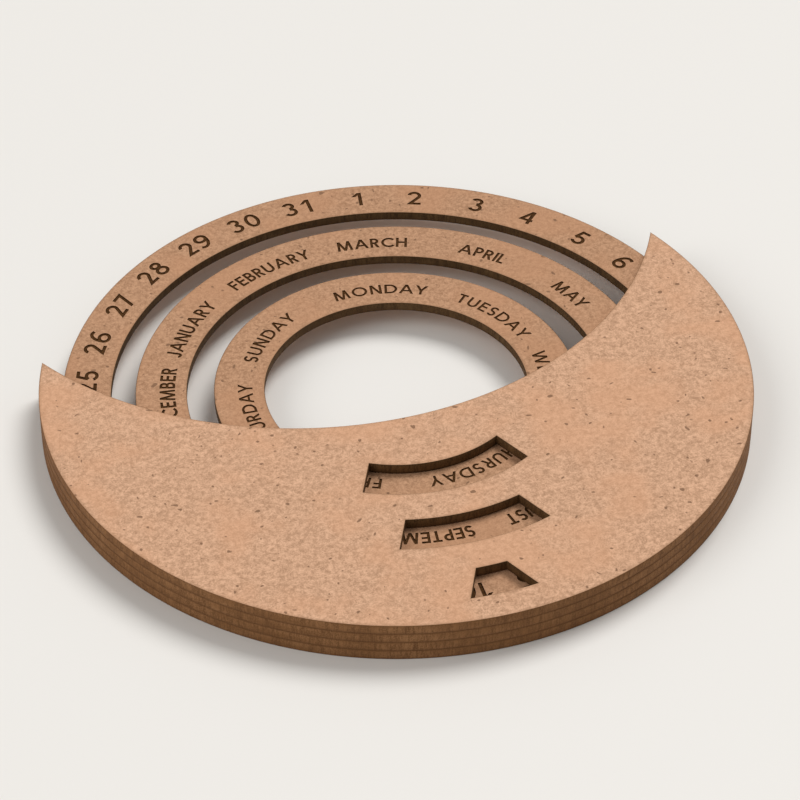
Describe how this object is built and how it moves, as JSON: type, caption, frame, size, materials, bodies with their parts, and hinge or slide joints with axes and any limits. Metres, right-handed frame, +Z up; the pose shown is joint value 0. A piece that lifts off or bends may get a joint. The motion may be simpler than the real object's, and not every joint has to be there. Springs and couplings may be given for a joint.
{
  "type": "perpetual calendar",
  "caption": "Flat round perpetual calendar: lettered rings turn in a crescent-shaped holder, whose windows show the weekday, the month and the date.",
  "frame": {"origin": "centre of the footprint, on the underside that rests on the desk", "axes": "+Z up, out of the lettered face; +Y from the rings' common axis along the middle line of the crescent, towards the windows, which is up for the lettering; +X to the reader's right. The rings' axis is parallel to Z at x 0, y -3.15 mm."},
  "size_m": [0.2, 0.1937, 0.012],
  "materials": {
    "holder_board": "raw medium-density fibreboard, faces pinkish tan, laser-cut edges charred brown",
    "spacer_board": "raw medium-density fibreboard, mostly its charred laser-cut edge is seen",
    "ring_board": "raw medium-density fibreboard with engraved dark brown lettering"
  },
  "bodies": {
    "holder": {"base_plate": "holder_board", "back_plate": "holder_board", "rim_spacer": "spacer_board", "outer_divider": "spacer_board", "inner_divider": "spacer_board", "hub_spacer": "spacer_board", "front_plate": "holder_board"},
    "date_dial": {"date_ring": "ring_board"},
    "month_dial": {"month_ring": "ring_board"},
    "weekday_dial": {"weekday_ring": "ring_board"}
  },
  "joints": [
    {"name": "date_turn", "type": "hinge", "parent": "holder", "child": "date_dial", "pos_m": [0, -0.00315, 0.00737], "axis": [0, 0, 1], "continuous": true},
    {"name": "month_turn", "type": "hinge", "parent": "holder", "child": "month_dial", "pos_m": [0, -0.00315, 0.00737], "axis": [0, 0, 1], "continuous": true},
    {"name": "weekday_turn", "type": "hinge", "parent": "holder", "child": "weekday_dial", "pos_m": [0, -0.00315, 0.00737], "axis": [0, 0, 1], "continuous": true}
  ]
}
